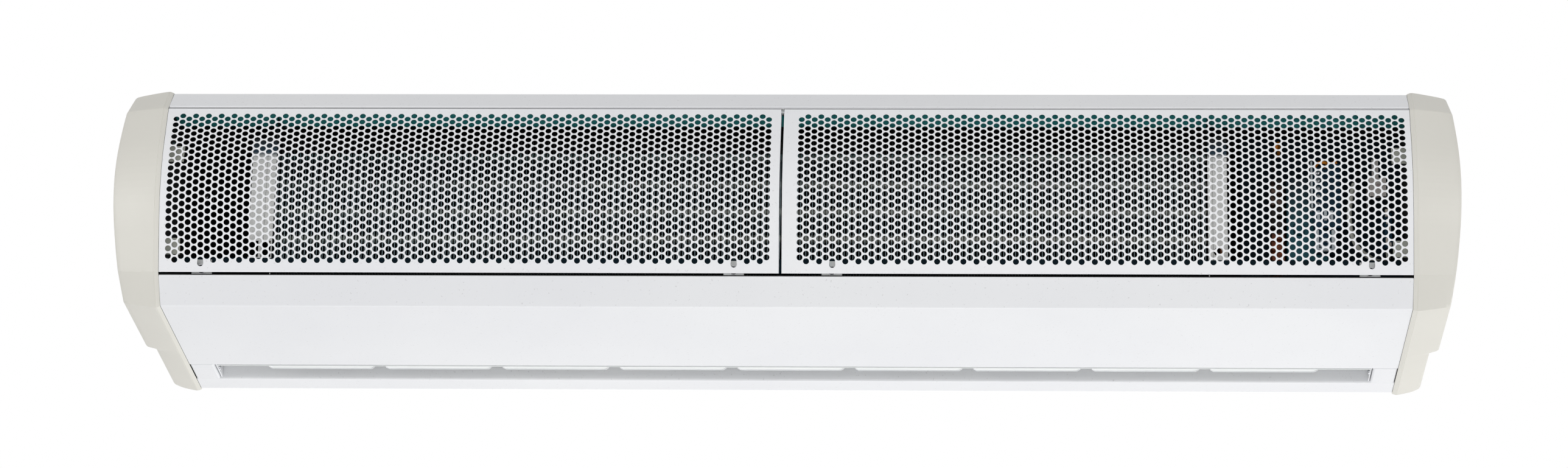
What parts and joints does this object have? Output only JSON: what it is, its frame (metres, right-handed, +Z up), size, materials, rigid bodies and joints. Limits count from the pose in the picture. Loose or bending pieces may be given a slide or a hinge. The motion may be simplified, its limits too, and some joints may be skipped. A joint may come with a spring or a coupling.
{
  "type": "air curtain",
  "caption": "Long heated air curtain: white sheet-metal body, cream end caps, curved perforated intake panels, finned heater, cross-flow fan and an outlet slot in the flat underside.",
  "frame": {"origin": "centre of the overall box at the lowest rim of the end caps", "axes": "+X along the length, towards the electrics compartment; +Y from the perforated front to the wall; +Z up"},
  "size_m": [1.432, 0.334, 0.248],
  "materials": {
    "white_paint": "satin white powder coat",
    "cream_plastic": "satin cream moulding",
    "galvanised": "zinc-coated sheet, faintly spangled",
    "nozzle_sheet": "pale grey coated sheet",
    "bright_steel": "bright zinc plate",
    "magnet": "dark ferrite in a bright steel cup",
    "teal_paint": "dark teal coated sheet",
    "fin_aluminium": "plain mill finish",
    "element_steel": "dull stainless tube",
    "ceramic": "unglazed off-white ceramic",
    "copper": "plain copper",
    "rotor_paint": "matt dark grey",
    "bronze": "sintered bronze",
    "black_rubber": "matt black rubber",
    "motor_paint": "dark grey enamel",
    "rail_paint": "dark blue coated strip",
    "rotor_core": "laminated iron core",
    "teal_plastic": "dark teal moulding",
    "dark_plastic": "black moulding",
    "brown_plastic": "brown moulding",
    "white_plastic": "glossy white moulding",
    "button_plastic": "dull pinkish-grey cap",
    "orange_sleeve": "orange insulation",
    "pale_sleeve": "pale grey insulation"
  },
  "bodies": {
    "casing": {"rear_chassis": "galvanised", "top_cover": "white_paint", "bottom_panel": "white_paint", "outlet_lip": "white_paint", "outlet_ends": "white_paint", "side_plate_left": "galvanised", "side_plate_right": "galvanised", "end_cap_left": "cream_plastic", "end_cap_right": "cream_plastic", "body_screws": "bright_steel", "top_baffle": "teal_paint", "panel_brackets": "galvanised", "hinge_bracket": "galvanised", "catch_tabs": "galvanised", "catch_magnets": "magnet", "outlet_guide": "nozzle_sheet", "outlet_rear_wall": "nozzle_sheet", "outlet_cheek_left": "white_paint", "outlet_cheek_right": "white_paint", "heater_bulkhead_left": "galvanised", "heater_bulkhead_right": "galvanised", "heater_rail": "rail_paint", "heater_fins": "fin_aluminium", "heater_rod_1": "element_steel", "heater_rod_2": "element_steel", "heater_rod_3": "element_steel", "heater_rod_4": "element_steel", "heater_rod_5": "element_steel", "heater_insulators": "ceramic", "heater_links": "copper", "scroll": "motor_paint", "fan_plate_left": "motor_paint", "fan_plate_right": "motor_paint", "fan_bearing": "bronze", "bearing_bush": "black_rubber", "motor_housing": "motor_paint", "motor_stator": "copper", "motor_bracket": "motor_paint", "motor_mounts": "black_rubber", "electrics_plate": "motor_paint", "contactor": "teal_plastic", "terminal_strip": "brown_plastic", "terminal_block": "white_plastic", "capacitor": "dark_plastic", "thermal_cutout": "galvanised", "orange_leads": "orange_sleeve", "pale_lead": "pale_sleeve", "cable_grommet": "black_rubber", "mount_nuts": "bright_steel"},
    "fan": {"fan_rotor": "rotor_paint", "fan_hub": "rotor_paint", "fan_shaft": "bright_steel", "motor_rotor": "rotor_core", "motor_shaft": "bright_steel"},
    "panel_left": {"grille_left": "white_paint", "hinge_pins_left": "bright_steel"},
    "panel_right": {"grille_right": "white_paint", "hinge_pins_right": "bright_steel"},
    "reset": {"reset_button": "button_plastic"},
    "carrier": {"contactor_slide": "teal_plastic"}
  },
  "joints": [
    {"name": "fan_spin", "type": "hinge", "parent": "casing", "child": "fan", "pos_m": [0, 0.06, 0.13], "axis": [1, 0, 0], "continuous": true},
    {"name": "panel_left_swing", "type": "hinge", "parent": "casing", "child": "panel_left", "pos_m": [-0.33, -0.14295, 0.21477], "axis": [-1, 0, 0], "range_deg": [0, 75]},
    {"name": "panel_right_swing", "type": "hinge", "parent": "casing", "child": "panel_right", "pos_m": [0.33, -0.14295, 0.21477], "axis": [-1, 0, 0], "range_deg": [0, 75]},
    {"name": "reset_press", "type": "slide", "parent": "casing", "child": "reset", "axis": [0, 1, 0], "range_m": [0, 0.0015], "stiffness_N_per_m": 400},
    {"name": "contactor_pull", "type": "slide", "parent": "casing", "child": "carrier", "axis": [0, 1, 0], "range_m": [0, 0.003], "stiffness_N_per_m": 300}
  ]
}
